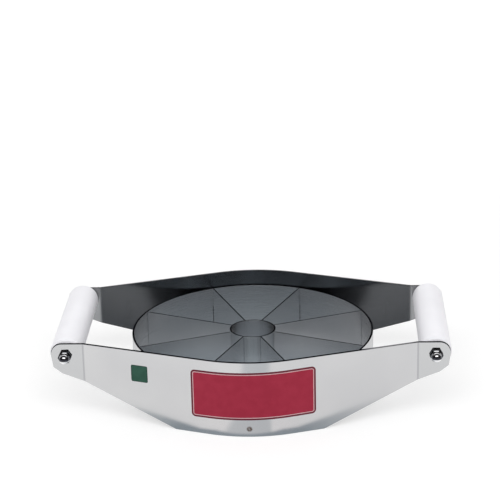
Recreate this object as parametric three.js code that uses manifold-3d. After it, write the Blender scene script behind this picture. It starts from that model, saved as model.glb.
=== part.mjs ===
// Push-down pineapple slicer: two bent side plates hold a ring of eight ground blades and a core tube, and
// a plastic roller grip turns on an axle rod at each end. Millimetres, +Z up, +X to the right along the two
// grips, +Y to the rear. The origin is on the table, under the middle of the blade ring.
import * as THREE from "three";
import { mergeVertices } from "three/addons/utils/BufferGeometryUtils.js";
import Module from "manifold-3d";

// Side plates: one sheet blank, used twice
const plateHeight = 57;
const sheetThickness = 1.5;
const tabSpan = 112; // over the outer faces of the front and rear tabs
const overallLength = 288; // from tab end to tab end
const tabLength = 23.5; // from the bend line to the tab's end
const tabHeight = 29.2; // height of the sheet at the bend line
const flatBottomLength = 106;
const bendRadius = 1.5; // on the hollow side of each bend
const tabCornerRadius = 8;
const tabEndLean = 1.5; // how far the tab's end leans in from the top to its lower corner
const tabChamferAlong = 6.2;
const tabChamferUp = 2.6;

// Blade ring and core tube
const ringDiameter = 180;
const ringWall = 1.5;
const coreBore = 32;
const coreWall = 1.2;
const bladeTopHeight = 45;
const bladeEdgeHeight = 1; // the ground edges stop this far above the table
const coreGrindHeight = 3;
const coreEdgeLand = 0.2;

// Blades
const bladeCount = 8;
const firstBladeAngle = 22.5;
const bladeThickness = 1;
const bladeGrindHeight = 6;
const bladeEdgeLand = 0.2;
const bladeTongueHeight = 14; // the tongues that seat a blade in the ring and in the core tube
const ringTongueBottom = 16;

// Axles, nuts and grips
const axleBelowTop = 8.5;
const axleFromTabEnd = 10.7;
const threadDiameter = 5;
const rodShoulder = 1; // how far the rod's body stands out round its threaded ends
const rodChamfer = 0.5;
const nutAcrossFlats = 8.6;
const nutHexHeight = 6;
const nutHeight = 11.5;
const domeStep = 0.7; // how far the dome stands in from the flats
const nutChamfer = 0.6;
const nutCrownWall = 2.2; // steel above the bottom of the nut's thread
const rodEndClearance = 1.5; // from the rod's end to the bottom of the nut's thread
const leftFrontNutTurn = 3;
const rightFrontNutTurn = 0;
const leftRearNutTurn = 14;
const rightRearNutTurn = -11;
const gripDiameter = 23;
const gripEdgeRadius = 2.5;

// Clearances
const seatGap = 0.3; // between a piece and the face that it rests against
const slotClearance = 0.2; // each side of a blade in its slot
const rodHoleClearance = 0.3; // round the threaded end in a tab's hole
const threadClearance = 0.2; // round the threaded end in a nut
const runningClearance = 0.3; // round the rod in a grip
const gripEndPlay = 0.5; // between a grip's end and the tab
const cutOverrun = 2; // how far a cutting body passes the surface that it cuts

// Facets
const ringSegments = 96;
const tubeSegments = 48;
const roundSegments = 32;
const arcSegments = 6;
const domeSegments = 4;
const edgeSegments = 2;

// Sizes that follow from the ones above
const ringRadius = ringDiameter / 2;
const plateInnerRadius = ringRadius + seatGap;
const plateOuterRadius = plateInnerRadius + sheetThickness;
const halfLength = overallLength / 2;
const halfBend = halfLength - tabLength;
const tabOuterY = tabSpan / 2;
const tabInnerY = tabOuterY - sheetThickness;
const coreInnerRadius = coreBore / 2;
const coreOuterRadius = coreInnerRadius + coreWall;
const axleX = halfLength - axleFromTabEnd;
const axleZ = plateHeight - axleBelowTop;
const threadRadius = threadDiameter / 2;
const rodRadius = threadRadius + rodShoulder;
const nutBoreDepth = nutHeight - nutCrownWall;
const rodEndY = tabOuterY + seatGap + nutBoreDepth - rodEndClearance;

// The wing runs straight from the bend line to where it touches the ring's wrap, at this angle to the tab.
const bendReach = Math.hypot(halfBend, tabOuterY);
const wingAngle = Math.atan2(halfBend, tabOuterY) - Math.acos(plateOuterRadius / bendReach);

const steelMaterial = new THREE.MeshStandardMaterial({ color: 0xc9cacc, roughness: 0.32, metalness: 1 });
const bladeMaterial = new THREE.MeshStandardMaterial({ color: 0xd3d5d8, roughness: 0.22, metalness: 1 });
const nutMaterial = new THREE.MeshStandardMaterial({ color: 0xdfe1e4, roughness: 0.08, metalness: 1 });
const gripMaterial = new THREE.MeshStandardMaterial({ color: 0xf3f3f5, roughness: 0.45, metalness: 0 });

const wasm = await Module();
wasm.setup();

// A closed geometry as a solid that can be joined and cut.
function solidOf(geometry) {
  const bare = geometry.clone();
  bare.deleteAttribute("normal");
  bare.deleteAttribute("uv");
  const merged = mergeVertices(bare);
  const mesh = new wasm.Mesh({
    numProp: 3,
    vertProperties: merged.attributes.position.array,
    triVerts: new Uint32Array(merged.index.array),
  });
  return new wasm.Manifold(mesh);
}

// The solid back as a geometry with crisp edges.
function geometryOf(solid) {
  const mesh = solid.getMesh();
  const geometry = new THREE.BufferGeometry();
  geometry.setAttribute("position", new THREE.BufferAttribute(mesh.vertProperties, 3));
  geometry.setIndex(new THREE.BufferAttribute(mesh.triVerts, 1));
  const crisp = geometry.toNonIndexed();
  crisp.computeVertexNormals();
  return crisp;
}

function namedMesh(name, geometry, material) {
  const mesh = new THREE.Mesh(geometry, material);
  mesh.name = name;
  return mesh;
}

// A straight prism of an outline drawn in X and Z, from y = 0 forwards (towards -Y).
function prismForwards(outline, depth) {
  const settings = { depth, bevelEnabled: false, curveSegments: arcSegments };
  return new THREE.ExtrudeGeometry(outline, settings).rotateX(Math.PI / 2);
}

// Side plate
// One face of the bent strip in plan, from the right tab's end to the middle of the ring's wrap. A face is
// named by how far it lies outside the strip's inner face.
function halfFacePoints(outset) {
  const wrapRadius = plateInnerRadius + outset;
  const cornerRadius = bendRadius + sheetThickness - outset;
  const centreY = tabOuterY + bendRadius;
  const centreX = (plateOuterRadius + bendRadius - centreY * Math.cos(wingAngle)) / Math.sin(wingAngle);
  const rightAngle = Math.PI / 2;
  const path = new THREE.Path();
  path.moveTo(halfLength, -(tabInnerY + outset));
  path.lineTo(centreX, -(tabInnerY + outset));
  path.absarc(centreX, -centreY, cornerRadius, rightAngle, rightAngle + wingAngle, false);
  path.absarc(0, 0, wrapRadius, wingAngle - rightAngle, -rightAngle, true);
  return path.getPoints(arcSegments);
}

function wholeFacePoints(outset) {
  const right = halfFacePoints(outset);
  const left = right.slice(0, -1).reverse().map((point) => new THREE.Vector2(-point.x, point.y));
  return [...right, ...left];
}

function bentStrip() {
  const plan = new THREE.Shape([...wholeFacePoints(0), ...wholeFacePoints(sheetThickness).reverse()]);
  return new THREE.ExtrudeGeometry(plan, { depth: plateHeight, bevelEnabled: false });
}

// The blank's outline as seen from the front: straight top, round upper corners on the tabs, a chamfer under
// each tab, and a lower edge that climbs from the flat bottom through the bend line to the tab.
function plateOutline() {
  const halfFlat = flatBottomLength / 2;
  const bendRise = plateHeight - tabHeight;
  const wingSlope = bendRise / (halfBend - halfFlat);
  const tabSlope = wingSlope * Math.cos(wingAngle);
  const lowerEndX = halfLength - tabEndLean;
  const lowerEndZ = bendRise + tabSlope * (lowerEndX - halfBend);
  const chamferX = lowerEndX - tabChamferAlong;
  const chamferZ = lowerEndZ - tabSlope * tabChamferAlong;
  const cornerX = halfLength - tabCornerRadius;
  const cornerZ = plateHeight - tabCornerRadius;
  const outline = new THREE.Shape();
  outline.moveTo(-halfFlat, 0);
  outline.lineTo(halfFlat, 0);
  outline.lineTo(halfBend, bendRise);
  outline.lineTo(chamferX, chamferZ);
  outline.lineTo(lowerEndX, lowerEndZ + tabChamferUp);
  outline.absarc(cornerX, cornerZ, tabCornerRadius, 0, Math.PI / 2, false);
  outline.absarc(-cornerX, cornerZ, tabCornerRadius, Math.PI / 2, Math.PI, false);
  outline.lineTo(-lowerEndX, lowerEndZ + tabChamferUp);
  outline.lineTo(-chamferX, chamferZ);
  outline.lineTo(-halfBend, bendRise);
  return outline;
}

function rodHole(sideways) {
  const radius = threadRadius + rodHoleClearance;
  const length = 2 * (tabOuterY + cutOverrun);
  const hole = new THREE.CylinderGeometry(radius, radius, length, roundSegments);
  return solidOf(hole.translate(sideways * axleX, 0, axleZ));
}

function sidePlateGeometry() {
  const outline = solidOf(prismForwards(plateOutline(), plateOuterRadius + cutOverrun));
  const plate = solidOf(bentStrip()).intersect(outline);
  return geometryOf(plate.subtract(rodHole(1)).subtract(rodHole(-1)));
}

// Blade ring and core tube
// A box that cuts a blade's slot outwards through a wall, turned to that blade's angle.
function slotCutter(index, innerRadius, outerRadius, bottom, top) {
  const width = bladeThickness + 2 * slotClearance;
  const length = outerRadius - innerRadius + 2 * cutOverrun;
  const box = new THREE.BoxGeometry(length, width, top - bottom);
  box.translate((innerRadius + outerRadius) / 2, 0, (bottom + top) / 2);
  return solidOf(box.rotateZ(bladeAngle(index)));
}

function bladeAngle(index) {
  return THREE.MathUtils.degToRad(firstBladeAngle) + (index * 2 * Math.PI) / bladeCount;
}

// A band is a ring or tube that stands upright: its profile holds radius and height.
function bandSolid(profile, segments) {
  const closed = [...profile, profile[0]];
  return solidOf(new THREE.LatheGeometry(closed, segments).rotateX(Math.PI / 2));
}

function ringGeometry() {
  const innerRadius = ringRadius - ringWall;
  const profile = [
    new THREE.Vector2(innerRadius, bladeEdgeHeight),
    new THREE.Vector2(ringRadius, bladeEdgeHeight),
    new THREE.Vector2(ringRadius, bladeTopHeight),
    new THREE.Vector2(innerRadius, bladeTopHeight),
  ];
  let ring = bandSolid(profile, ringSegments);
  const bottom = ringTongueBottom - slotClearance;
  const top = ringTongueBottom + bladeTongueHeight + slotClearance;
  for (let index = 0; index < bladeCount; index += 1) {
    ring = ring.subtract(slotCutter(index, innerRadius, ringRadius, bottom, top));
  }
  return geometryOf(ring);
}

// The core tube's lower rim is ground on the outside, and its slots are open at the top, so that the tube
// slides up over the blades' inner tongues.
function coreTubeGeometry() {
  const profile = [
    new THREE.Vector2(coreInnerRadius, bladeEdgeHeight),
    new THREE.Vector2(coreInnerRadius + coreEdgeLand, bladeEdgeHeight),
    new THREE.Vector2(coreOuterRadius, bladeEdgeHeight + coreGrindHeight),
    new THREE.Vector2(coreOuterRadius, bladeTopHeight),
    new THREE.Vector2(coreInnerRadius, bladeTopHeight),
  ];
  let tube = bandSolid(profile, tubeSegments);
  const bottom = bladeTopHeight - bladeTongueHeight - slotClearance;
  const top = bladeTopHeight + cutOverrun;
  for (let index = 0; index < bladeCount; index += 1) {
    tube = tube.subtract(slotCutter(index, coreInnerRadius, coreOuterRadius, bottom, top));
  }
  return geometryOf(tube);
}

// Blades
// The outline of a blade in radius and height, with a tongue at the top of its inner end and one in the
// middle of its outer end.
function bladeOutline() {
  const innerEnd = coreOuterRadius + seatGap;
  const outerEnd = ringRadius - ringWall - seatGap;
  const innerTongueBottom = bladeTopHeight - bladeTongueHeight;
  const outerTongueTop = ringTongueBottom + bladeTongueHeight;
  const outline = new THREE.Shape();
  outline.moveTo(innerEnd, bladeEdgeHeight);
  outline.lineTo(outerEnd, bladeEdgeHeight);
  outline.lineTo(outerEnd, ringTongueBottom);
  outline.lineTo(ringRadius, ringTongueBottom);
  outline.lineTo(ringRadius, outerTongueTop);
  outline.lineTo(outerEnd, outerTongueTop);
  outline.lineTo(outerEnd, bladeTopHeight);
  outline.lineTo(coreInnerRadius, bladeTopHeight);
  outline.lineTo(coreInnerRadius, innerTongueBottom);
  outline.lineTo(innerEnd, innerTongueBottom);
  return outline;
}

// The blade's cross-section, ground on both faces down to a narrow land at the lower edge.
function bladeSection() {
  const halfThickness = bladeThickness / 2;
  const halfLand = bladeEdgeLand / 2;
  const grindTop = bladeEdgeHeight + bladeGrindHeight;
  return new THREE.Shape([
    new THREE.Vector2(-halfLand, bladeEdgeHeight),
    new THREE.Vector2(halfLand, bladeEdgeHeight),
    new THREE.Vector2(halfThickness, grindTop),
    new THREE.Vector2(halfThickness, bladeTopHeight),
    new THREE.Vector2(-halfThickness, bladeTopHeight),
    new THREE.Vector2(-halfThickness, grindTop),
  ]);
}

function bladeGeometry() {
  const thickness = bladeThickness + 2 * cutOverrun;
  const flat = prismForwards(bladeOutline(), thickness).translate(0, thickness / 2, 0);
  const ground = prismForwards(bladeSection(), ringRadius + cutOverrun).rotateZ(Math.PI / 2);
  return geometryOf(solidOf(flat).intersect(solidOf(ground)));
}

// Axles, nuts and grips: all turn about Y
function turnedGeometry(profile) {
  return new THREE.LatheGeometry(profile, roundSegments);
}

function rodGeometry() {
  const shoulder = tabInnerY - seatGap;
  const rearHalf = [
    new THREE.Vector2(rodRadius, shoulder - rodChamfer),
    new THREE.Vector2(rodRadius - rodChamfer, shoulder),
    new THREE.Vector2(threadRadius, shoulder),
    new THREE.Vector2(threadRadius, rodEndY - rodChamfer),
    new THREE.Vector2(threadRadius - rodChamfer, rodEndY),
    new THREE.Vector2(0, rodEndY),
  ];
  const frontHalf = rearHalf.map((point) => new THREE.Vector2(point.x, -point.y)).reverse();
  return turnedGeometry([...frontHalf, ...rearHalf]);
}

// A domed nut that stands on y = 0 and points towards +Y, open underneath for the threaded end.
function nutGeometry() {
  const cornerRadius = nutAcrossFlats / 2 / Math.cos(Math.PI / 6);
  const hexagon = new THREE.CylinderGeometry(cornerRadius, cornerRadius, nutHexHeight, 6);
  hexagon.rotateY(Math.PI / 6).translate(0, nutHexHeight / 2, 0);
  const chamferedBlank = turnedGeometry([
    new THREE.Vector2(0, 0),
    new THREE.Vector2(cornerRadius + nutChamfer, 0),
    new THREE.Vector2(cornerRadius + nutChamfer, nutHexHeight - 2 * nutChamfer),
    new THREE.Vector2(nutAcrossFlats / 2 - nutChamfer, nutHexHeight),
    new THREE.Vector2(0, nutHexHeight),
  ]);
  const domeRadius = nutAcrossFlats / 2 - domeStep;
  const domeOutline = new THREE.Path();
  domeOutline.moveTo(0, nutHexHeight / 2);
  domeOutline.lineTo(domeRadius, nutHexHeight / 2);
  domeOutline.absarc(0, nutHeight - domeRadius, domeRadius, 0, Math.PI / 2, false);
  const boreRadius = threadRadius + threadClearance;
  const bore = new THREE.CylinderGeometry(boreRadius, boreRadius, nutBoreDepth + cutOverrun, roundSegments);
  bore.translate(0, (nutBoreDepth - cutOverrun) / 2, 0);
  const head = solidOf(hexagon).intersect(solidOf(chamferedBlank));
  const dome = solidOf(turnedGeometry(domeOutline.getPoints(domeSegments)));
  return geometryOf(head.add(dome).subtract(solidOf(bore)));
}

function gripGeometry() {
  const halfGrip = tabInnerY - gripEndPlay;
  const outerRadius = gripDiameter / 2;
  const boreRadius = rodRadius + runningClearance;
  const edgeX = outerRadius - gripEdgeRadius;
  const edgeY = halfGrip - gripEdgeRadius;
  const profile = new THREE.Path();
  profile.moveTo(boreRadius, -halfGrip);
  profile.lineTo(edgeX, -halfGrip);
  profile.absarc(edgeX, -edgeY, gripEdgeRadius, -Math.PI / 2, 0, false);
  profile.absarc(edgeX, edgeY, gripEdgeRadius, 0, Math.PI / 2, false);
  profile.lineTo(boreRadius, halfGrip);
  profile.closePath();
  return turnedGeometry(profile.getPoints(edgeSegments));
}

// Assembly
function sidePlates() {
  const geometry = sidePlateGeometry();
  const front = namedMesh("front_side_plate", geometry, steelMaterial);
  const rear = namedMesh("rear_side_plate", geometry, steelMaterial);
  rear.rotation.z = Math.PI;
  return [front, rear];
}

function bladeSet() {
  const geometry = bladeGeometry();
  const set = new THREE.Group();
  set.add(namedMesh("blade_ring", ringGeometry(), steelMaterial));
  set.add(namedMesh("core_tube", coreTubeGeometry(), bladeMaterial));
  for (let index = 0; index < bladeCount; index += 1) {
    const blade = namedMesh(`blade_${index + 1}`, geometry, bladeMaterial);
    blade.rotation.z = bladeAngle(index);
    set.add(blade);
  }
  return set;
}

function capNut(name, geometry, turn, isRear) {
  const nut = namedMesh(name, geometry, nutMaterial);
  const side = new THREE.Group();
  nut.rotation.y = THREE.MathUtils.degToRad(turn);
  nut.position.y = tabOuterY + seatGap;
  side.rotation.z = isRear ? 0 : Math.PI;
  side.add(nut);
  return side;
}

// Everything at one end of the slicer, placed on its axle.
function gripEnd(sideName, sideways, frontTurn, rearTurn) {
  const nut = nutGeometry();
  const end = new THREE.Group();
  end.add(namedMesh(`${sideName}_axle_rod`, rodGeometry(), steelMaterial));
  end.add(namedMesh(`${sideName}_grip`, gripGeometry(), gripMaterial));
  end.add(capNut(`${sideName}_front_cap_nut`, nut, frontTurn, false));
  end.add(capNut(`${sideName}_rear_cap_nut`, nut, rearTurn, true));
  end.position.set(sideways * axleX, 0, axleZ);
  return end;
}

const slicer = new THREE.Group();
slicer.add(...sidePlates());
slicer.add(bladeSet());
slicer.add(gripEnd("left", -1, leftFrontNutTurn, leftRearNutTurn));
slicer.add(gripEnd("right", 1, rightFrontNutTurn, rightRearNutTurn));

export default slicer;
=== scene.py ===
import math

import bmesh
import bpy
from mathutils import Matrix, Vector


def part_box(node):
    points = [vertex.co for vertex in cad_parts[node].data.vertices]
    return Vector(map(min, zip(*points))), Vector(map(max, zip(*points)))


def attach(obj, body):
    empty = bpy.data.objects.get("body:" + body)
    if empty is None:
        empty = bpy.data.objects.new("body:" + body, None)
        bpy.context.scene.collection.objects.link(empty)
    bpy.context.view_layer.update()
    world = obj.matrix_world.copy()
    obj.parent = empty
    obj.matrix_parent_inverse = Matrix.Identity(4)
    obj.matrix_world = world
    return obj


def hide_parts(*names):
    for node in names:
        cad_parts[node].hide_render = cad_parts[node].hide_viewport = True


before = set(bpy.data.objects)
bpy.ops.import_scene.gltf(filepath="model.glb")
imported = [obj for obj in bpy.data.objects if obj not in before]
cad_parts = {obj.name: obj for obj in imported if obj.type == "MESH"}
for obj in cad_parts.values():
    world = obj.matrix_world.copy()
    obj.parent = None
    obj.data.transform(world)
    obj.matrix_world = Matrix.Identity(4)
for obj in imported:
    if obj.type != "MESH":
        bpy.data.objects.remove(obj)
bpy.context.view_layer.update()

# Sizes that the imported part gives
plate_low, plate_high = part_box("front_side_plate")
ring_low, ring_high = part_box("blade_ring")
tube_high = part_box("core_tube")[1]
grip_low, grip_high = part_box("left_grip")
nut_low, nut_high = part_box("left_front_cap_nut")
rod_low, rod_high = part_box("left_axle_rod")

plate_height = plate_high.z
half_length = plate_high.x
plate_outer_radius = -plate_low.y
ring_radius = ring_high.x
blade_edge_height = ring_low.z
blade_top_height = ring_high.z
core_outer_radius = tube_high.x
grip_radius = (grip_high.x - grip_low.x) / 2
grip_half_length = grip_high.y
axle_x = -(grip_high.x + grip_low.x) / 2
axle_z = (grip_high.z + grip_low.z) / 2
nut_seat_y = -nut_high.y
nut_height = nut_high.y - nut_low.y
rod_radius = (rod_high.x - rod_low.x) / 2
rod_half_length = rod_high.y

# Sizes that its boxes don't give
seat_gap = 0.0003
tab_length = 0.0235
tab_height = 0.0292
tab_corner_radius = 0.008
tab_end_lean = 0.0015
tab_chamfer_along = 0.0062
tab_chamfer_up = 0.0026
flat_bottom_length = 0.106
bend_radius = 0.0015
rod_hole_radius = 0.0028

ring_wall = 0.0015
core_wall = 0.0012
core_grind_height = 0.003
edge_land = 0.0002
blade_count = 8
first_blade_angle = math.radians(22.5)
blade_thickness = 0.001
blade_grind_height = 0.006
blade_tongue_height = 0.014
ring_tongue_bottom = 0.016
slot_clearance = 0.0002

nut_across_flats = 0.0086
nut_hex_height = 0.006
nut_dome_step = 0.0007
nut_chamfer = 0.0006
nut_crown_wall = 0.0022
nut_bore_radius = 0.0027
nut_turns_in_degrees = {
    "left_front_cap_nut": 3,
    "right_front_cap_nut": 0,
    "left_rear_cap_nut": 14,
    "right_rear_cap_nut": -11,
}
grip_edge_radius = 0.0025
grip_bore_radius = 0.0038
grip_bore_chamfer = 0.0005
thread_radius = 0.0025
rod_chamfer = 0.0005

# Roundings of edges
plate_rounding = 0.00015
band_rounding = 0.0001
blade_rounding = 0.00006
nut_rounding = 0.0002
nut_edge_softening = 0.00015
rounding_steps = 3
sharp_angle = math.radians(25)

# How finely the round forms are drawn
joining_distance = 0.000001
wrap_steps = 24
wing_step = 0.004
bend_steps = 8
corner_steps = 10
ring_steps = 22
tube_steps = 11
round_segments = 96
dome_steps = 24
edge_steps = 8
softening_steps = 4
hexagon_corner_steps = 4
hexagon_flat_steps = 8
sticker_step = 0.002
sticker_corner_steps = 6

# The camera, fitted to the photograph's edges, where the picture counts as 500 pixels wide
picture_width = 500
focal_length_in_pixels = 1810.3
origin_right_in_pixels = 0.95
origin_down_in_pixels = 133.19
camera_distance = 1.3702
camera_pitch = math.radians(20.199)
camera_yaw = math.radians(-2.419)
camera_roll = math.radians(-1.272)
sensor_width_in_millimetres = 36


# Meshes
def new_piece(name, points, faces, bands=None):
    """A mesh with double points joined and all faces turned outwards. Bands number the faces' materials."""
    mesh = bpy.data.meshes.new(name)
    mesh.from_pydata(points, [], faces)
    if bands:
        mesh.polygons.foreach_set("material_index", bands)
    shape = bmesh.new()
    shape.from_mesh(mesh)
    bmesh.ops.remove_doubles(shape, verts=shape.verts, dist=joining_distance)
    bmesh.ops.recalc_face_normals(shape, faces=shape.faces)
    shape.to_mesh(mesh)
    shape.free()
    piece = bpy.data.objects.new(name, mesh)
    bpy.context.scene.collection.objects.link(piece)
    return piece


def apply_modifiers(piece):
    graph = bpy.context.evaluated_depsgraph_get()
    finished = bpy.data.meshes.new_from_object(piece.evaluated_get(graph))
    piece.modifiers.clear()
    piece.data = finished


def cut_away(piece, cutter):
    cut = piece.modifiers.new("cut away", "BOOLEAN")
    cut.operation = "DIFFERENCE"
    cut.solver = "EXACT"
    cut.object = cutter
    apply_modifiers(piece)
    bpy.data.objects.remove(cutter)


def smooth_faces(piece):
    for face in piece.data.polygons:
        face.use_smooth = True


def round_edges(piece, width):
    smooth_faces(piece)
    rounding = piece.modifiers.new("round edges", "BEVEL")
    rounding.width = width
    rounding.segments = rounding_steps
    rounding.limit_method = "ANGLE"
    rounding.angle_limit = sharp_angle
    rounding.harden_normals = True
    apply_modifiers(piece)


def turned(name, profile, segments, is_ring=False):
    """Turns a profile of (radius, height) about Z. A ring's profile is a loop. Any other ends on the axis."""
    points = []
    for step in range(segments):
        angle = 2 * math.pi * step / segments
        points += [(r * math.cos(angle), r * math.sin(angle), z) for r, z in profile]
    count = len(profile)
    faces = []
    for step in range(segments):
        here = step * count
        there = (step + 1) % segments * count
        for index in range(count if is_ring else count - 1):
            after = (index + 1) % count
            faces.append((here + index, there + index, there + after, here + after))
    return new_piece(name, points, faces)


def arc(centre, radius, start, end, steps):
    """The points of an arc in a flat outline, from one angle to another in degrees."""
    points = []
    for step in range(steps + 1):
        angle = math.radians(start + (end - start) * step / steps)
        points.append((centre[0] + radius * math.cos(angle), centre[1] + radius * math.sin(angle)))
    return points


def place(piece, matrix):
    piece.data.transform(matrix)
    piece.data.update()


# Side plates
plate_inner_radius = ring_radius + seat_gap
sheet_thickness = plate_outer_radius - plate_inner_radius
tab_outer_y = nut_seat_y - seat_gap
tab_inner_y = tab_outer_y - sheet_thickness
half_bend = half_length - tab_length
bend_reach = math.hypot(half_bend, tab_outer_y)
wing_angle = math.atan2(half_bend, tab_outer_y) - math.acos(plate_outer_radius / bend_reach)
bend_centre_forward = tab_outer_y + bend_radius
bend_tangent = plate_outer_radius + bend_radius - bend_centre_forward * math.cos(wing_angle)
bend_centre_x = bend_tangent / math.sin(wing_angle)
bend_middle_x = bend_centre_x - bend_radius * math.sin(wing_angle / 2)
bend_rise = plate_height - tab_height
wing_slope = bend_rise / (half_bend - flat_bottom_length / 2)
tab_slope = wing_slope * math.cos(wing_angle)
lower_end_x = half_length - tab_end_lean
lower_end_z = bend_rise + tab_slope * (lower_end_x - half_bend)
corner_x = half_length - tab_corner_radius
corner_z = plate_height - tab_corner_radius
lower_outline = [
    (0, 0),
    (flat_bottom_length / 2, 0),
    (half_bend, bend_rise),
    (lower_end_x - tab_chamfer_along, lower_end_z - tab_slope * tab_chamfer_along),
    (lower_end_x, lower_end_z + tab_chamfer_up),
    (half_length, corner_z),
]


def forward_of(across, outset):
    """How far in front of the origin a face of the front plate lies. Outset 0 is the plate's inner face."""
    wrap_radius = plate_inner_radius + outset
    corner_radius = bend_radius + sheet_thickness - outset
    if across <= wrap_radius * math.sin(wing_angle):
        return math.sqrt(wrap_radius**2 - across**2)
    if across <= bend_centre_x - corner_radius * math.sin(wing_angle):
        return (wrap_radius - across * math.sin(wing_angle)) / math.cos(wing_angle)
    inside_bend = max(bend_centre_x - across, 0)
    return bend_centre_forward - math.sqrt(corner_radius**2 - inside_bend**2)


def lower_edge_at(across):
    for (x0, z0), (x1, z1) in zip(lower_outline, lower_outline[1:]):
        if across <= x1:
            return z0 + (z1 - z0) * (across - x0) / (x1 - x0)
    return corner_z


def upper_edge_at(across):
    beyond = max(across - corner_x, 0)
    return corner_z + math.sqrt(max(tab_corner_radius**2 - beyond**2, 0))


def plate_columns():
    """Where the right half of a plate gets its columns of points, along X."""
    wrap_end = plate_outer_radius * math.sin(wing_angle)
    bend_start = bend_centre_x - (bend_radius + sheet_thickness) * math.sin(wing_angle)
    wing_steps = round((bend_start - wrap_end) / wing_step)
    columns = {x for x, _ in lower_outline}
    for step in range(wrap_steps):
        columns.add(plate_outer_radius * math.sin(wing_angle * step / wrap_steps))
    for step in range(wing_steps):
        columns.add(wrap_end + (bend_start - wrap_end) * step / wing_steps)
    for step in range(bend_steps + 1):
        columns.add(bend_start + (bend_centre_x - bend_start) * step / bend_steps)
    for step in range(corner_steps):
        columns.add(corner_x + tab_corner_radius * math.sin(math.pi / 2 * step / corner_steps))
    return sorted(columns)


def side_plate(name, is_rear):
    right = plate_columns()
    columns = [-x for x in reversed(right[1:])] + right
    points = []
    for x in columns:
        across = abs(x)
        outer = -forward_of(across, sheet_thickness)
        inner = -forward_of(across, 0)
        low = lower_edge_at(across)
        high = upper_edge_at(across)
        points += [(x, outer, low), (x, outer, high), (x, inner, high), (x, inner, low)]
    faces = []
    for index in range(len(columns) - 1):
        here = 4 * index
        there = here + 4
        for side in range(4):
            after = (side + 1) % 4
            faces.append((here + side, there + side, there + after, here + after))
    piece = new_piece(name, points, faces)
    for sideways in (-1, 1):
        cut_away(piece, rod_hole_cutter(sideways * axle_x))
    round_edges(piece, plate_rounding)
    if is_rear:
        place(piece, Matrix.Rotation(math.pi, 4, "Z"))
    return piece


def rod_hole_cutter(x):
    reach = 2 * sheet_thickness
    profile = [(0, -reach), (rod_hole_radius, -reach), (rod_hole_radius, reach), (0, reach)]
    cutter = turned("rod hole", profile, round_segments)
    place(cutter, Matrix.Translation((x, -tab_inner_y, axle_z)) @ Matrix.Rotation(math.pi / 2, 4, "X"))
    return cutter


# Blade ring and core tube
def blade_angle(index):
    return first_blade_angle + index * 2 * math.pi / blade_count


def slotted_band(name, inner, outer, rim, slot_low, slot_high, steps):
    """An upright band with a slot at each blade. The rim is its lower edge, from inside to outside. A slot
    that reaches the top of the band is open there."""
    top = blade_top_height
    is_open = slot_high >= top
    levels = [slot_low] if is_open else [slot_low, slot_high]
    loop = [(inner, top)] + [(inner, z) for z in reversed(levels)] + rim
    loop += [(outer, z) for z in levels] + [(outer, top)]
    count = len(loop)
    inside_low = len(levels)
    outside_low = count - 1 - len(levels)
    cut_sides = {inside_low - 1, outside_low}
    if is_open:
        cut_sides.add(count - 1)
    half_width = blade_thickness / 2 + slot_clearance
    gap = 2 * math.pi / blade_count
    points = []
    columns = 0
    for index in range(blade_count):
        for step in range(steps + 1):
            for r, z in loop:
                half_slot = math.asin(half_width / r)
                angle = blade_angle(index) + half_slot + (gap - 2 * half_slot) * step / steps
                points.append((r * math.cos(angle), r * math.sin(angle), z))
            columns += 1
    faces = []
    for column in range(columns):
        here = column * count
        there = (column + 1) % columns * count
        is_slot = column % (steps + 1) == steps
        for side in range(count):
            after = (side + 1) % count
            if not (is_slot and side in cut_sides):
                faces.append((here + side, there + side, there + after, here + after))
        if is_slot:
            faces.append((here + inside_low, there + inside_low, there + outside_low, here + outside_low))
            for start in (here, there):
                inside = [start + side for side in range(inside_low - 1, inside_low + 1)]
                outside = [start + side for side in range(outside_low, outside_low + 2)]
                faces.append((*inside, *outside))
            if not is_open:
                inside = inside_low - 1
                outside = outside_low + 1
                faces.append((here + inside, there + inside, there + outside, here + outside))
    piece = new_piece(name, points, faces)
    round_edges(piece, band_rounding)
    return piece


def blade_ring():
    inner = ring_radius - ring_wall
    rim = [(inner, blade_edge_height), (ring_radius, blade_edge_height)]
    low = ring_tongue_bottom - slot_clearance
    high = ring_tongue_bottom + blade_tongue_height + slot_clearance
    return slotted_band("ring_band", inner, ring_radius, rim, low, high, ring_steps)


def core_tube():
    inner = core_outer_radius - core_wall
    rim = [
        (inner, blade_edge_height),
        (inner + edge_land, blade_edge_height),
        (core_outer_radius, blade_edge_height + core_grind_height),
    ]
    low = blade_top_height - blade_tongue_height - slot_clearance
    return slotted_band("core_band", inner, core_outer_radius, rim, low, blade_top_height, tube_steps)


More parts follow.
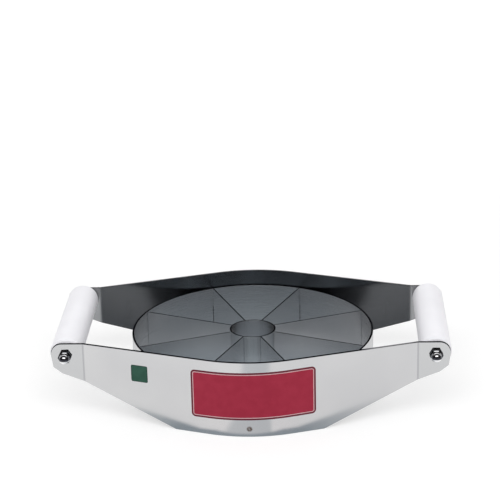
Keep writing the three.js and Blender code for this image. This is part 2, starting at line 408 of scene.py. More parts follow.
# Blades
def blade(index):
    core_end = core_outer_radius - core_wall
    inner_end = core_outer_radius + seat_gap
    outer_end = ring_radius - ring_wall - seat_gap
    inner_tongue_bottom = blade_top_height - blade_tongue_height
    outer_tongue_top = ring_tongue_bottom + blade_tongue_height
    grind_top = blade_edge_height + blade_grind_height
    outline = [
        (inner_end, blade_edge_height),
        (outer_end, blade_edge_height),
        (outer_end, grind_top),
        (outer_end, ring_tongue_bottom),
        (ring_radius, ring_tongue_bottom),
        (ring_radius, outer_tongue_top),
        (outer_end, outer_tongue_top),
        (outer_end, blade_top_height),
        (core_end, blade_top_height),
        (core_end, inner_tongue_bottom),
        (inner_end, inner_tongue_bottom),
        (inner_end, grind_top),
    ]
    count = len(outline)
    points = []
    for side in (-1, 1):
        for r, z in outline:
            half = edge_land / 2 if z == blade_edge_height else blade_thickness / 2
            points.append((r, side * half, z))
    faces = []
    for corner in range(count):
        after = (corner + 1) % count
        faces.append((corner, after, after + count, corner + count))
    for start in (0, count):
        faces.append((start, start + 1, start + 2, start + count - 1))
        faces.append(tuple(range(start + 2, start + count)))
    piece = new_piece(f"ground_blade_{index + 1}", points, faces)
    round_edges(piece, blade_rounding)
    place(piece, Matrix.Rotation(blade_angle(index), 4, "Z"))
    return piece


# Nuts, grips and rods
def hexagon_points():
    """A hexagon's outline with rounded corners, all the way round, as (angle, distance from the middle)."""
    half_flats = nut_across_flats / 2
    arc_distance = (half_flats - nut_rounding) / math.cos(math.pi / 6)
    flat_end = math.atan(math.tan(math.pi / 6) * (half_flats - nut_rounding) / half_flats)
    points = []
    for corner in range(6):
        middle = corner * math.pi / 3
        for step in range(hexagon_flat_steps):
            angle = flat_end * (2 * step / hexagon_flat_steps - 1)
            points.append((middle + angle, half_flats / math.cos(angle)))
        for step in range(hexagon_corner_steps):
            turn = math.pi / 3 * step / hexagon_corner_steps - math.pi / 6
            along = arc_distance + nut_rounding * math.cos(turn)
            across = nut_rounding * math.sin(turn)
            points.append((middle + math.pi / 6 + math.atan2(across, along), math.hypot(along, across)))
    return points


def softened(profile, width):
    """The profile with each of its inner corners drawn as a small curve, which starts this far before it."""
    points = [Vector(point) for point in profile]
    smooth = [points[0]]
    for before, corner, after in zip(points, points[1:], points[2:]):
        into = min(width, (corner - before).length / 2)
        out = min(width, (after - corner).length / 2)
        start = corner + (before - corner).normalized() * into
        end = corner + (after - corner).normalized() * out
        for step in range(softening_steps + 1):
            share = step / softening_steps
            smooth.append(start * (1 - share) ** 2 + corner * 2 * share * (1 - share) + end * share**2)
    return smooth + [points[-1]]


def cap_nut(node):
    """A domed nut drawn as columns round its axis, each with the nut's profile at that angle."""
    dome_radius = nut_across_flats / 2 - nut_dome_step
    dome_start = nut_height - dome_radius
    bore_depth = nut_height - nut_crown_wall
    corner_radius = nut_across_flats / 2 / math.cos(math.pi / 6)
    chamfer_end = nut_across_flats / 2 - nut_chamfer
    chamfer_slope = 2 * nut_chamfer / (corner_radius + nut_chamfer - chamfer_end)
    bore = [(0, bore_depth), (nut_bore_radius, bore_depth), (nut_bore_radius, 0)]
    dome_foot = [(chamfer_end, nut_hex_height), (dome_radius, nut_hex_height), (dome_radius, dome_start)]
    columns = []
    for angle, radius in hexagon_points():
        side_top = nut_hex_height - (radius - chamfer_end) * chamfer_slope
        profile = softened(bore + [(radius, 0), (radius, side_top)] + dome_foot, nut_edge_softening)
        profile += arc((0, dome_start), dome_radius, 0, 90, dome_steps)[1:]
        columns.append([(r * math.cos(angle), r * math.sin(angle), z) for r, z in profile])
    count = len(columns[0])
    points = [point for column in columns for point in column]
    faces = []
    for index in range(len(columns)):
        here = index * count
        there = (index + 1) % len(columns) * count
        faces += [(here + row, there + row, there + row + 1, here + row + 1) for row in range(count - 1)]
    piece = new_piece(f"{node}_body", points, faces)
    smooth_faces(piece)
    low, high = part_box(node)
    is_rear = high.y > 0
    seat = Matrix.Translation(((low.x + high.x) / 2, 0, axle_z))
    facing = Matrix.Rotation(math.pi if is_rear else 0, 4, "Z")
    tip = Matrix.Translation((0, -nut_seat_y, 0)) @ Matrix.Rotation(math.pi / 2, 4, "X")
    turn = Matrix.Rotation(math.pi / 2 + math.radians(nut_turns_in_degrees[node]), 4, "Z")
    place(piece, seat @ facing @ tip @ turn)
    return piece


def lay_on_axle(piece, node):
    """Smooths a turned piece between its edges, and lays it down along Y where its node is."""
    smooth_faces(piece)
    piece.data.set_sharp_from_angle(angle=sharp_angle)
    low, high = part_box(node)
    place(piece, Matrix.Translation((low + high) / 2) @ Matrix.Rotation(math.pi / 2, 4, "X"))


def roller_grip(node):
    edge_r = grip_radius - grip_edge_radius
    edge_z = grip_half_length - grip_edge_radius
    bore_end = grip_half_length - grip_bore_chamfer
    profile = [(grip_bore_radius, -bore_end), (grip_bore_radius + grip_bore_chamfer, -grip_half_length)]
    profile += arc((edge_r, -edge_z), grip_edge_radius, -90, 0, edge_steps)
    profile += arc((edge_r, edge_z), grip_edge_radius, 0, 90, edge_steps)
    profile += [(grip_bore_radius + grip_bore_chamfer, grip_half_length), (grip_bore_radius, bore_end)]
    piece = turned(f"{node}_roller", profile, round_segments, is_ring=True)
    lay_on_axle(piece, node)
    return piece


def axle_rod(node):
    """The stepped rod inside a grip, with a chamfer at each shoulder and at each threaded end."""
    shoulder = tab_inner_y - seat_gap
    half = [
        (rod_radius, shoulder - rod_chamfer),
        (rod_radius - rod_chamfer, shoulder),
        (thread_radius, shoulder),
        (thread_radius, rod_half_length - rod_chamfer),
        (thread_radius - rod_chamfer, rod_half_length),
        (0, rod_half_length),
    ]
    piece = turned(f"{node}_steel", [(r, -z) for r, z in reversed(half)] + half, round_segments)
    lay_on_axle(piece, node)
    return piece


# Bare stickers on the front plate
sticker_thickness = 0.00012
sticker_lift = 0.00002
sticker_least_radius = 0.0001
panel_centre = 0.00315
panel_height_centre = 0.0311
panel_width = 0.0911
panel_height = 0.0363
panel_slope = 0.011
panel_corner_radius = 0.003
panel_keyline_inset = 0.0013
panel_keyline_width = 0.0006
square_centre = -0.0822
square_height_centre = 0.0396
square_side = 0.0127
square_slope = 0
square_corner_radius = 0.0010
square_border = 0.0004


def on_front_plate(along, z, lift):
    """A point that far to the right of the middle along the front plate's outer face, lifted off it."""
    side = math.copysign(1, along)
    wrap_length = plate_outer_radius * wing_angle
    angle = min(abs(along) / plate_outer_radius, wing_angle)
    beyond = max(abs(along) - wrap_length, 0)
    radius = plate_outer_radius + lift
    across = radius * math.sin(angle) + beyond * math.cos(angle)
    forward = radius * math.cos(angle) - beyond * math.sin(angle)
    return (side * across, -forward, z)


def sticker_rows(centre, height_centre, width, height, corner_radius, slope, inset):
    """The upper and the lower edge of a rounded rectangle that climbs to the right, drawn in by the inset, as
    (along, z) from left to right."""
    half_width = width / 2 - inset
    half_height = height / 2 - inset
    radius = max(corner_radius - inset, sticker_least_radius)
    left = arc((radius - half_width, half_height - radius), radius, 180, 90, sticker_corner_steps)
    right = [(-along, z) for along, z in reversed(left)]
    steps = round(width / sticker_step)
    start = left[-1][0]
    middle = [(start - 2 * start * step / steps, half_height) for step in range(1, steps)]
    row = left + middle + right
    upper = [(centre + along, height_centre + z + slope * along) for along, z in row]
    lower = [(centre + along, height_centre - z + slope * along) for along, z in row]
    return upper, lower


def sticker(name, outline, insets, materials):
    """A thin sticker on the front plate. The insets are where its printed bands meet, from the edge inwards,
    and the materials are those of the bands, with the field inside them last."""
    points = []
    starts = []
    for inset, lift in [(0, sticker_lift)] + [(inset, sticker_thickness) for inset in [0, *insets]]:
        upper, lower = sticker_rows(*outline, inset)
        starts.append(len(points))
        points += [on_front_plate(along, z, lift) for along, z in upper + lower[::-1]]
    count = len(points) // len(starts)
    faces = []
    bands = []
    for band, (outside, inside) in enumerate(zip(starts, starts[1:])):
        for index in range(count):
            after = (index + 1) % count
            faces.append((outside + index, outside + after, inside + after, inside + index))
            bands.append(max(band - 1, 0))
    for start, band in ((starts[0], 0), (starts[-1], len(materials) - 1)):
        for index in range(count // 2 - 1):
            opposite = count - 1 - index
            faces.append((start + index, start + index + 1, start + opposite - 1, start + opposite))
            bands.append(band)
    piece = new_piece(name, points, faces, bands)
    for material in materials:
        piece.data.materials.append(material)
    return piece


# Colours, as linear red, green, blue and cover
white = (1, 1, 1, 1)
steel_light = (0.62, 0.62, 0.625, 1)
steel_dark = (0.57, 0.57, 0.58, 1)
# Painted shade on the plates' inner faces
inner_face_shade_colour = (0.108, 0.115, 0.123, 1)
# Painted shade: a darker copy of the plate steel for the tabs
tab_shaded_steel = (0.560, 0.565, 0.572, 1)
worn_steel = (0.74, 0.74, 0.75, 1)
# Painted dark reflection on the cut edges
cut_edge_painted_dark = (0.018, 0.018, 0.024, 1)
# Painted shade along the bends
bend_shade_colour = (0.36, 0.36, 0.38, 1)
weld_tint = (0.075, 0.032, 0.008, 1)
blade_light = (0.84, 0.84, 0.85, 1)
blade_dark = (0.79, 0.79, 0.80, 1)
# Painted reflections on the nut domes and hexagons, down to the streak
chrome_painted_foot = (0.88, 0.88, 0.89, 1)
chrome_painted_dusk = (0.05, 0.052, 0.062, 1)
chrome_painted_glint = (0.55, 0.55, 0.56, 1)
chrome_cloud = (0.88, 0.88, 0.89, 1)
hexagon_painted_dark = (0.07, 0.075, 0.08, 1)
hexagon_painted_streak = (0.30, 0.305, 0.31, 1)
grip_light = (0.91, 0.905, 0.94, 1)
grip_dark = (0.88, 0.875, 0.91, 1)
panel_red = (0.392, 0.026, 0.058, 1)
panel_deep_red = (0.36, 0.023, 0.052, 1)
keyline_pale = (0.74, 0.48, 0.50, 1)
keyline_dull = (0.68, 0.42, 0.45, 1)
border_dark = (0.125, 0.016, 0.029, 1)
border_brown = (0.150, 0.020, 0.035, 1)
square_green = (0.030, 0.100, 0.068, 1)
square_deep_green = (0.024, 0.082, 0.056, 1)
square_border_green = (0.018, 0.050, 0.036, 1)
square_border_black = (0.014, 0.036, 0.028, 1)

# Patterns of the steel. A scale is in turns of noise per metre, and a share says how much of a pattern shows.
grain_along = 40
grain_across = 6000
grain_detail = 3
cloud_scale = 16
cloud_detail = 2
fine_detail = 2
scuff_along = 90
scuff_across = 1400
scuff_detail = 4
scuff_share = 0.10
scuff_range = (0.60, 0.74)
tone_range = (0.35, 0.65)
wear_scale = 240
wear_range = (0.56, 0.66)
wear_share = 0.7
inner_shade_share = 0.90
tab_inner_shade_share = 0.44
plate_roughness = 0.17
band_roughness = 0.30
blade_roughness = 0.22
rod_roughness = 0.26
roughness_swing = 0.04
cut_extra_roughness = 0.15
grain_depth = 0.000003
grain_strength = 0.2

# On the plates: painted shade along the bends, a painted dark reflection round the cut rims, and the tint of
# the spot welds. The painted dark reflection on the cut edges is paler on the rear plate, and round one place
# on the front plate's right wing.
bend_shade_half_width = 0.0004
bend_shade_fade = 0.0009
bend_shade_share = 0.6
rim_width = 0.00025
rim_fade = 0.00055
rim_end_height = 0.0495
rim_start_height = 0.0515
pale_edge_middle_x = 0.101
pale_edge_reach = (0.014, 0.022)
pale_edge_share = 0.72
rear_edge_share = 0.66
weld_height = 0.0060
weld_radius = 0.0014
weld_fade_radius = 0.0024
weld_core_radii = (0.0003, 0.0010)
weld_core_shares = (0.60, 1)
weld_scale = 1300
weld_shares = (0.60, 1)

# Chrome, with painted reflections. Its bands say which colour it has where it faces that far upwards, from -1
# to 1: a bright painted foot, a painted dusk and a painted glint.
chrome_roughness = 0.06
chrome_swing = 0.02
chrome_scale = 300
chrome_painted_reflection_bands = (
    (-0.24, chrome_painted_foot),
    (-0.14, chrome_painted_dusk),
    (0.40, chrome_painted_dusk),
    (0.48, chrome_painted_glint),
)
hexagon_paint_end = 0.0058
hexagon_paint_full = 0.0056
hexagon_extra_roughness = 0.15
streak_half_width = 0.0006
streak_fade = 0.0013

# Plastic and vinyl
plastic_roughness = 0.42
plastic_swing = 0.06
plastic_gloss_index = 1.49
plastic_cloud_scale = 35
plastic_speckle_scale = 2600
plastic_speckle_depth = 0.00003
plastic_speckle_strength = 0.2
vinyl_roughness = 0.45
vinyl_swing = 0.06
vinyl_specular = 0.22
vinyl_cloud_scale = 160
vinyl_peel_scale = 900
vinyl_peel_depth = 0.00002
vinyl_peel_strength = 0.2

# How square a surface has to face before it counts as a broad face of a plate, and where its cut edge begins
broad_face = 0.945
edge_start = 0.90
edge_full = 0.70
flat_end_start = 0.55
flat_end_full = 0.80


# Node helpers
def new_material(name, roughness, metallic):
    material = bpy.data.materials.new(name)
    material.use_nodes = True
    shader = material.node_tree.nodes["Principled BSDF"]
    shader.inputs["Roughness"].default_value = roughness
    shader.inputs["Metallic"].default_value = metallic
    return material, material.node_tree, shader


def feed(tree, socket, value):
    """Sets a socket to a fixed value, or links it to the output of a node."""
    if isinstance(value, bpy.types.NodeSocket):
        tree.links.new(value, socket)
    else:
        socket.default_value = value


def calculate(tree, operation, first, second=0):
    step = tree.nodes.new("ShaderNodeMath")
    step.operation = operation
    feed(tree, step.inputs[0], first)
    feed(tree, step.inputs[1], second)
    return step.outputs["Value"]


def between(tree, value, source, target):
    """Moves a value from one range to another, and holds it inside that range."""
    change = tree.nodes.new("ShaderNodeMapRange")
    feed(tree, change.inputs["Value"], value)
    for name, end in zip(("From Min", "From Max", "To Min", "To Max"), (*source, *target)):
        feed(tree, change.inputs[name], end)
    return change.outputs["Result"]


def share_of(tree, value, source, most=1):
    return between(tree, value, source, (0, most))


def mix_colours(tree, way, share, first, second):
    mix = tree.nodes.new("ShaderNodeMix")
    mix.data_type = "RGBA"
    mix.blend_type = way
    feed(tree, mix.inputs["Factor"], share)
    feed(tree, mix.inputs["A"], first)
    feed(tree, mix.inputs["B"], second)
    return mix.outputs["Result"]


def blend_colours(tree, share, first, second):
    return mix_colours(tree, "MIX", share, first, second)


def multiply_colours(tree, first, second):
    return mix_colours(tree, "MULTIPLY", 1, first, second)


def banded(tree, value, bands):
    """The colour at a value from -1 to 1, between bands that are given as (value, colour)."""
    ramp = tree.nodes.new("ShaderNodeValToRGB")
    elements = ramp.color_ramp.elements
    while len(elements) < len(bands):
        elements.new(1)
    for element, (start, colour) in zip(elements, bands):
        element.position = (start + 1) / 2
        element.color = colour
    feed(tree, ramp.inputs["Fac"], share_of(tree, value, (-1, 1)))
    return ramp.outputs["Color"]


def coordinates(tree, kind):
    """The piece's own coordinates in metres, or the direction that its surface faces, as X, Y and Z."""
    source = tree.nodes.new("ShaderNodeTexCoord")
    split = tree.nodes.new("ShaderNodeSeparateXYZ")
    tree.links.new(source.outputs[kind], split.inputs[0])
    return split.outputs["X"], split.outputs["Y"], split.outputs["Z"]


def noise(tree, turns, detail):
    """Noise in the piece's own coordinates, with its own number of turns per metre along X, Y and Z."""
    source = tree.nodes.new("ShaderNodeTexCoord")
    scale = tree.nodes.new("ShaderNodeVectorMath")
    scale.operation = "MULTIPLY"
    scale.inputs[1].default_value = turns
    texture = tree.nodes.new("ShaderNodeTexNoise")
    texture.inputs["Scale"].default_value = 1
    texture.inputs["Detail"].default_value = detail
    tree.links.new(source.outputs["Object"], scale.inputs[0])
    tree.links.new(scale.outputs[0], texture.inputs["Vector"])
    return texture.outputs["Fac"]


def even_noise(tree, scale, detail):
    return noise(tree, (scale, scale, scale), detail)


def length_of(tree, first, second):
    """The length of the slanting side of a right angle with these two sides."""
    square = calculate(tree, "ADD", calculate(tree, "POWER", first, 2), calculate(tree, "POWER", second, 2))
    return calculate(tree, "SQRT", square)


def raise_surface(tree, shader, height, distance, strength):
    bump = tree.nodes.new("ShaderNodeBump")
    bump.inputs["Strength"].default_value = strength
    bump.inputs["Distance"].default_value = distance
    tree.links.new(height, bump.inputs["Height"])
    tree.links.new(bump.outputs["Normal"], shader.inputs["Normal"])


# Steel
def satin_tone(tree, light, dark):
    """The colour of brushed steel, with soft clouds and faint level scuffs."""
    clouds = even_noise(tree, cloud_scale, cloud_detail)
    scuffs = noise(tree, (scuff_along, scuff_along, scuff_across), scuff_detail)
    tone = blend_colours(tree, share_of(tree, clouds, tone_range), light, dark)
    return blend_colours(tree, share_of(tree, scuffs, scuff_range, scuff_share), tone, dark)


def grained(tree, shader, roughness):
    """Gives the surface its level grain, and returns its roughness."""
    grain = noise(tree, (grain_along, grain_along, grain_across), grain_detail)
    raise_surface(tree, shader, grain, grain_depth, grain_strength)
    return between(tree, grain, tone_range, (roughness - roughness_swing, roughness + roughness_swing))


def finish_sheet(tree, shader, tone, roughness, cut):
    """Links the colour and the grain of sheet steel, with dull cut edges darkened by a painted dark
    reflection.
    """
    tree.links.new(blend_colours(tree, cut, tone, cut_edge_painted_dark), shader.inputs["Base Color"])
    tree.links.new(blend_colours(tree, cut, white, cut_edge_painted_dark), shader.inputs["Specular Tint"])
    extra = calculate(tree, "MULTIPLY", cut, cut_extra_roughness)
    rough = calculate(tree, "ADD", grained(tree, shader, roughness), extra)
    tree.links.new(rough, shader.inputs["Roughness"])


def worn_share(tree):
    """Where an edge is rubbed bright, in patches."""
    return share_of(tree, even_noise(tree, wear_scale, cloud_detail), wear_range, wear_share)


def dark_rim_reflection_share(tree, across, z):
    """Where a thin rim of painted dark reflection lies: along a plate's top and round the upper corners of
    its tabs.
    """
    beyond = calculate(tree, "MAXIMUM", calculate(tree, "SUBTRACT", across, corner_x))
    above = calculate(tree, "MAXIMUM", calculate(tree, "SUBTRACT", z, corner_z))
    inside = calculate(tree, "SUBTRACT", tab_corner_radius, length_of(tree, beyond, above))
    is_high = share_of(tree, z, (rim_end_height, rim_start_height))
    return calculate(tree, "MULTIPLY", share_of(tree, inside, (rim_fade, rim_width)), is_high)


def edge_reflection_darkness(tree, x, y):
    """How much of the cut edges' painted dark reflection shows: all of it on the front plate, but for its
    pale place, and less on the rear plate.
    """
    from_pale_place = calculate(tree, "ABSOLUTE", calculate(tree, "SUBTRACT", x, pale_edge_middle_x))
    front = between(tree, from_pale_place, pale_edge_reach, (pale_edge_share, 1))
    is_front = calculate(tree, "LESS_THAN", y)
    return between(tree, is_front, (0, 1), (rear_edge_share, front))


def plate_steel(name):
    """The sheet of the side plates: painted shade on its inner face and on its tabs, dull cut edges darkened
    by a painted dark reflection, painted shade along each bend, and the tint of a spot weld at the foot of
    its middle."""
    material, tree, shader = new_material(name, plate_roughness, 1)
    x, y, z = coordinates(tree, "Object")
    facing_y = coordinates(tree, "Normal")[1]
    tone = satin_tone(tree, steel_light, steel_dark)

    outwards = calculate(tree, "MULTIPLY", calculate(tree, "SIGN", y), facing_y)
    across = calculate(tree, "ABSOLUTE", x)
    tab = share_of(tree, across, (bend_middle_x - bend_radius, bend_middle_x + bend_radius))
    # Painted shade: the tabs get a darker copy of the plate steel
    tone = blend_colours(tree, tab, tone, tab_shaded_steel)
    # Painted shade: the inner faces are darkened, less so on the tabs, standing in for the dark they reflect
    inner_shade_most = between(tree, tab, (0, 1), (inner_shade_share, tab_inner_shade_share))
    inner = calculate(tree, "MULTIPLY", share_of(tree, outwards, (0, -edge_full)), inner_shade_most)
    tone = blend_colours(tree, inner, tone, inner_face_shade_colour)

    # Painted shade along the outer side of each bend
    from_bend = calculate(tree, "ABSOLUTE", calculate(tree, "SUBTRACT", across, bend_middle_x))
    bend = share_of(tree, from_bend, (bend_shade_fade, bend_shade_half_width), bend_shade_share)
    outer_bend_shade = calculate(tree, "MULTIPLY", bend, calculate(tree, "GREATER_THAN", outwards))
    tone = blend_colours(tree, outer_bend_shade, tone, bend_shade_colour)

    above = calculate(tree, "SUBTRACT", z, weld_height)
    burnt = between(tree, even_noise(tree, weld_scale, cloud_detail), tone_range, weld_shares)
    from_weld = length_of(tree, x, above)
    weld = share_of(tree, from_weld, (weld_fade_radius, weld_radius), burnt)
    core = between(tree, from_weld, weld_core_radii, weld_core_shares)
    tone = blend_colours(tree, calculate(tree, "MULTIPLY", weld, core), tone, weld_tint)

    squareness = calculate(tree, "ABSOLUTE", facing_y)
    rounding = share_of(tree, squareness, (broad_face, edge_start))
    tone = blend_colours(tree, calculate(tree, "MULTIPLY", worn_share(tree), rounding), tone, worn_steel)
    # Painted dark reflection on the cut edges, and on a thin rim along the top
    edge = share_of(tree, squareness, (edge_start, edge_full))
    cut = calculate(tree, "MAXIMUM", edge, dark_rim_reflection_share(tree, across, z))
    cut = calculate(tree, "MULTIPLY", cut, edge_reflection_darkness(tree, x, y))
    finish_sheet(tree, shader, tone, plate_roughness, cut)
    return material


def strip_steel(name, light, dark, roughness):
    """Steel whose level surfaces are its cut edges, for the bands and the blades."""
    material, tree, shader = new_material(name, roughness, 1)
    upright = calculate(tree, "ABSOLUTE", coordinates(tree, "Normal")[2])
    tone = satin_tone(tree, light, dark)
    near_edge = calculate(tree, "MULTIPLY", worn_share(tree), share_of(tree, upright, (0, flat_end_start)))
    tone = blend_colours(tree, near_edge, tone, worn_steel)
    # Painted dark reflection on the level cut edges of the bands and blades
    finish_sheet(tree, shader, tone, roughness, share_of(tree, upright, (flat_end_start, flat_end_full)))
    return material


def turned_steel(name):
    material, tree, shader = new_material(name, rod_roughness, 1)
    tone = blend_colours(tree, worn_share(tree), satin_tone(tree, steel_light, steel_dark), worn_steel)
    tree.links.new(tone, shader.inputs["Base Color"])
    tree.links.new(grained(tree, shader, rod_roughness), shader.inputs["Roughness"])
    return material


def chrome(name):
    """Polished chrome with painted reflections: domes painted dusky but for a painted glint and bright
    painted feet, by which way they face, over hexagons painted dark and left dull, with a painted lighter
    streak round their middle."""
    material, tree, shader = new_material(name, chrome_roughness, 1)
    clouds = even_noise(tree, chrome_scale, fine_detail)
    # Painted reflection: the domes' colour follows which way the surface faces
    bands = banded(tree, coordinates(tree, "Normal")[2], chrome_painted_reflection_bands)
    haze = blend_colours(tree, share_of(tree, clouds, tone_range), white, chrome_cloud)
    dome = multiply_colours(tree, bands, haze)

    outwards = calculate(tree, "ABSOLUTE", coordinates(tree, "Object")[1])
    above_seat = calculate(tree, "SUBTRACT", outwards, nut_seat_y)
    from_middle = calculate(tree, "ABSOLUTE", calculate(tree, "SUBTRACT", above_seat, nut_hex_height / 2))
    streak = share_of(tree, from_middle, (streak_fade, streak_half_width))
    # Painted reflection on the hexagons: painted dark, with a painted lighter streak round the middle
    dark = blend_colours(tree, streak, hexagon_painted_dark, hexagon_painted_streak)
    hexagon = share_of(tree, above_seat, (hexagon_paint_end, hexagon_paint_full))
    tree.links.new(blend_colours(tree, hexagon, dome, dark), shader.inputs["Base Color"])
    tree.links.new(blend_colours(tree, hexagon, white, dark), shader.inputs["Specular Tint"])
    swing = (chrome_roughness - chrome_swing, chrome_roughness + chrome_swing)
    rough = between(tree, clouds, tone_range, swing)
    extra = calculate(tree, "MULTIPLY", hexagon, hexagon_extra_roughness)
    tree.links.new(calculate(tree, "ADD", rough, extra), shader.inputs["Roughness"])
    return material


# Plastic and vinyl
def finish_clouded(tree, shader, scale, light, dark, roughness, swing):
    """Links a colour and a roughness that both change softly from place to place."""
    clouds = even_noise(tree, scale, grain_detail)
    tone = blend_colours(tree, share_of(tree, clouds, tone_range), light, dark)
    tree.links.new(tone, shader.inputs["Base Color"])
    rough = between(tree, clouds, tone_range, (roughness - swing, roughness + swing))
    tree.links.new(rough, shader.inputs["Roughness"])


def moulded_plastic(name):
    material, tree, shader = new_material(name, plastic_roughness, 0)
    shader.inputs["IOR"].default_value = plastic_gloss_index
    finish_clouded(tree, shader, plastic_cloud_scale, grip_light, grip_dark, plastic_roughness, plastic_swing)
    speckle = even_noise(tree, plastic_speckle_scale, fine_detail)
    raise_surface(tree, shader, speckle, plastic_speckle_depth, plastic_speckle_strength)
    return material


def printed_vinyl(name, light, deep):
    material, tree, shader = new_material(name, vinyl_roughness, 0)
    shader.inputs["Specular IOR Level"].default_value = vinyl_specular
    finish_clouded(tree, shader, vinyl_cloud_scale, light, deep, vinyl_roughness, vinyl_swing)
    peel = even_noise(tree, vinyl_peel_scale, fine_detail)
    raise_surface(tree, shader, peel, vinyl_peel_depth, vinyl_peel_strength)
    return material


plate_material = plate_steel("plate steel")
band_material = strip_steel("ring steel", steel_light, steel_dark, band_roughness)
blade_material = strip_steel("blade steel", blade_light, blade_dark, blade_roughness)
rod_material = turned_steel("rod steel")
nut_material = chrome("nut chrome")
grip_material = moulded_plastic("grip plastic")
red_material = printed_vinyl("panel red", panel_red, panel_deep_red)
keyline_material = printed_vinyl("panel keyline", keyline_pale, keyline_dull)
border_material = printed_vinyl("panel border", border_dark, border_brown)
green_material = printed_vinyl("square green", square_green, square_deep_green)
green_border_material = printed_vinyl("square border", square_border_green, square_border_black)


# Dressing the part
def dress(piece, node, material, body="frame"):
    piece.data.materials.clear()
    piece.data.materials.append(material)
    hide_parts(node)
    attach(piece, body)


dress(side_plate("front_plate_sheet", False), "front_side_plate", plate_material)
dress(side_plate("rear_plate_sheet", True), "rear_side_plate", plate_material)
dress(blade_ring(), "blade_ring", band_material)
dress(core_tube(), "core_tube", blade_material)
for index in range(blade_count):
    dress(blade(index), f"blade_{index + 1}", blade_material)
for nut in nut_turns_in_degrees:
    dressed_nut = cap_nut(nut)
    dress(dressed_nut, nut, nut_material)
    dressed_nut.visible_glossy = False
for side in ("left", "right"):
    dress(roller_grip(f"{side}_grip"), f"{side}_grip", grip_material, f"{side}_grip")
    dressed_rod = axle_rod(f"{side}_axle_rod")
    dress(dressed_rod, f"{side}_axle_rod", rod_material)
    dressed_rod.visible_glossy = False

panel_outline = (
    panel_centre, panel_height_centre, panel_width, panel_height, panel_corner_radius, panel_slope,
)
panel_bands = [panel_keyline_inset, panel_keyline_inset + panel_keyline_width]
panel_materials = [border_material, keyline_material, red_material]
square_outline = (
    square_centre, square_height_centre, square_side, square_side, square_corner_radius, square_slope,
)
for piece in (
    sticker("bare_red_panel", panel_outline, panel_bands, panel_materials),
    sticker("bare_green_square", square_outline, [square_border], [green_border_material, green_material]),
):
    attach(piece, "frame")


# Floor
floor_size = 30
floor_light = (0.50, 0.50, 0.50, 1)
floor_dull = (0.49, 0.49, 0.49, 1)
floor_paper_scale = 3
floor_roughness = 0.9
floor_glow = 0.56
far_floor_glow = 0.80
glow_near = 0.35
glow_far = 1.4

# Painted shade that only the steel sees on the floor. Each tint is whole at its full value and gone at its
# end value.
shade_tint = (0.38, 0.43, 0.465, 1)
shade_end = 0.0937
shade_full = 0.0897
shade_middle = -0.0075
shade_length_end = 0.1425
shade_length_full = 0.0475
shade_slant = 0.0285
shade_bulge = 0.0045
bulge_length_end = 0.040
bulge_length_full = 0.028
strip_shadow_tint = (0.72, 0.75, 0.77, 1)
strip_left_end = -0.024
strip_left_full = -0.017
strip_right_foot = -0.010
strip_right_end_slope = 0.300
strip_right_full_slope = 0.270

# Lamps and the world. Powers are in watts.
front_lamp_place = (0, -0.92, 1.20)
front_lamp_width = 1.7
front_lamp_height = 0.75
front_lamp_power = 10.7
side_lamp_across = 1.25
side_lamp_forward = 0.35
side_lamp_up = 0.45
side_lamp_size = 0.7
side_lamp_power = 3.5
rear_lamp_place = (0, 1.5, 1.15)
rear_lamp_width = 1.6
rear_lamp_height = 0.35
rear_lamp_power = 4.5
world_diffuse = 0.50
dark_room = 0.04
bright_backdrop = 0.85
backdrop_start = 0.35
backdrop_full = 0.50


def visible_share(tree):
    """1 for rays from the camera and those that a mirror or glass sends on, and 0 for the light itself."""
    path = tree.nodes.new("ShaderNodeLightPath")
    seen = calculate(tree, "MAXIMUM", path.outputs["Is Camera Ray"], path.outputs["Is Glossy Ray"])
    return calculate(tree, "MAXIMUM", seen, path.outputs["Is Transmission Ray"])


def floor_tint(tree, x, y):
    """Painted shade that the steel sees on the floor, and the eye doesn't: a grey strip of painted shadow
    that widens away from the slicer's middle, and the blue painted shade under it, which lies a little askew
    and bulges at its middle."""
    out = calculate(tree, "ABSOLUTE", y)
    across = calculate(tree, "ABSOLUTE", x)
    left = share_of(tree, x, (strip_left_end, strip_left_full))
    slope = calculate(tree, "DIVIDE", calculate(tree, "SUBTRACT", x, strip_right_foot), out)
    right = share_of(tree, slope, (strip_right_end_slope, strip_right_full_slope))
    strip = calculate(tree, "MULTIPLY", left, right)

    bulge = share_of(tree, across, (bulge_length_end, bulge_length_full), shade_bulge)
    askew = calculate(tree, "ADD", bulge, calculate(tree, "MULTIPLY", x, shade_slant))
    near = share_of(tree, calculate(tree, "SUBTRACT", out, askew), (shade_end, shade_full))
    from_middle = calculate(tree, "ABSOLUTE", calculate(tree, "SUBTRACT", x, shade_middle))
    inside = share_of(tree, from_middle, (shade_length_end, shade_length_full))
    shade = calculate(tree, "MULTIPLY", near, inside)

    path = tree.nodes.new("ShaderNodeLightPath")
    mirrored = path.outputs["Is Glossy Ray"]
    # Painted shadow and shade, seen only in mirrors
    tint = blend_colours(tree, calculate(tree, "MULTIPLY", strip, mirrored), white, strip_shadow_tint)
    return blend_colours(tree, calculate(tree, "MULTIPLY", shade, mirrored), tint, shade_tint)


def pale_floor():
    """A pale paper floor that glows a little for the eye, more so far away from the lamps."""
    half = floor_size / 2
    corners = [(-half, -half, 0), (half, -half, 0), (half, half, 0), (-half, half, 0)]
    floor = new_piece("floor", corners, [(0, 1, 2, 3)])
    material, tree, shader = new_material("floor white", floor_roughness, 0)
    shader.inputs["Specular IOR Level"].default_value = 0
    x, y, _ = coordinates(tree, "Object")
    tint = floor_tint(tree, x, y)
    paper = blend_colours(tree, even_noise(tree, floor_paper_scale, fine_detail), floor_light, floor_dull)
    tree.links.new(multiply_colours(tree, paper, tint), shader.inputs["Base Color"])
    glow = between(tree, length_of(tree, x, y), (glow_near, glow_far), (floor_glow, far_floor_glow))
    tree.links.new(tint, shader.inputs["Emission Color"])
    tree.links.new(calculate(tree, "MULTIPLY", glow, visible_share(tree)), shader.inputs["Emission Strength"])
    floor.data.materials.append(material)


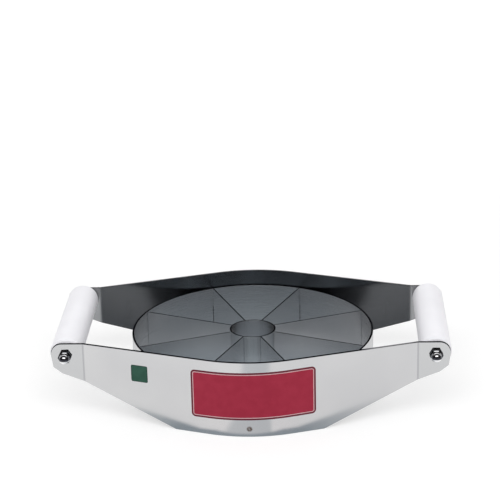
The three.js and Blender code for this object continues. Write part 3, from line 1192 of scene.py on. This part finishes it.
def studio_world():
    """Even light from all round. Mirrors see a dark room in it, with a pale backdrop behind the slicer."""
    world = bpy.data.worlds.new("studio")
    bpy.context.scene.world = world
    world.use_nodes = True
    tree = world.node_tree
    background = tree.nodes["Background"]
    background.inputs["Color"].default_value = white
    behind = coordinates(tree, "Generated")[1]
    mirrored = between(tree, behind, (backdrop_start, backdrop_full), (dark_room, bright_backdrop))
    path = tree.nodes.new("ShaderNodeLightPath")
    extra = calculate(tree, "SUBTRACT", mirrored, world_diffuse)
    glossy = calculate(tree, "MULTIPLY", path.outputs["Is Glossy Ray"], extra)
    camera = calculate(tree, "MULTIPLY", path.outputs["Is Camera Ray"], 1 - world_diffuse)
    room = calculate(tree, "ADD", calculate(tree, "ADD", glossy, camera), world_diffuse)
    tree.links.new(room, background.inputs["Strength"])


def soft_lamp(name, position, width, height, power):
    """A soft lamp that shines on the foot of the slicer's middle. Returns its object."""
    lamp = bpy.data.lights.new(name, "AREA")
    lamp.shape = "RECTANGLE"
    lamp.size = width
    lamp.size_y = height
    lamp.energy = power
    holder = bpy.data.objects.new(name, lamp)
    bpy.context.scene.collection.objects.link(holder)
    holder.location = position
    holder.rotation_euler = (-Vector(position)).to_track_quat("-Z", "Y").to_euler()
    return holder


# Camera
def fitted_camera():
    sideways = origin_right_in_pixels / focal_length_in_pixels * camera_distance
    downwards = origin_down_in_pixels / focal_length_in_pixels * camera_distance
    right = Vector((1, 0, 0))
    forward = Vector((0, math.cos(camera_pitch), -math.sin(camera_pitch)))
    up = right.cross(forward)
    place_seen = up * downwards - right * sideways - forward * camera_distance
    rolled_right = right * math.cos(camera_roll) + up * math.sin(camera_roll)
    rolled_up = up * math.cos(camera_roll) - right * math.sin(camera_roll)
    turn = Matrix.Rotation(-camera_yaw, 3, "Z")
    axes = Matrix((turn @ rolled_right, turn @ rolled_up, turn @ -forward)).transposed()
    lens = bpy.data.cameras.new("camera")
    lens.sensor_width = sensor_width_in_millimetres
    lens.lens = focal_length_in_pixels / picture_width * sensor_width_in_millimetres
    holder = bpy.data.objects.new("camera", lens)
    bpy.context.scene.collection.objects.link(holder)
    holder.matrix_world = Matrix.Translation(turn @ place_seen) @ axes.to_4x4()
    bpy.context.scene.camera = holder


pale_floor()
studio_world()
soft_lamp("front softbox", front_lamp_place, front_lamp_width, front_lamp_height, front_lamp_power)
soft_lamp("rear softbox", rear_lamp_place, rear_lamp_width, rear_lamp_height, rear_lamp_power)
for side, sideways in (("left", -1), ("right", 1)):
    side_lamp_place = (sideways * side_lamp_across, -side_lamp_forward, side_lamp_up)
    side_lamp = soft_lamp(f"{side} softbox", side_lamp_place, side_lamp_size, side_lamp_size, side_lamp_power)
    side_lamp.visible_glossy = False
fitted_camera()
bpy.context.scene.view_settings.view_transform = "Standard"
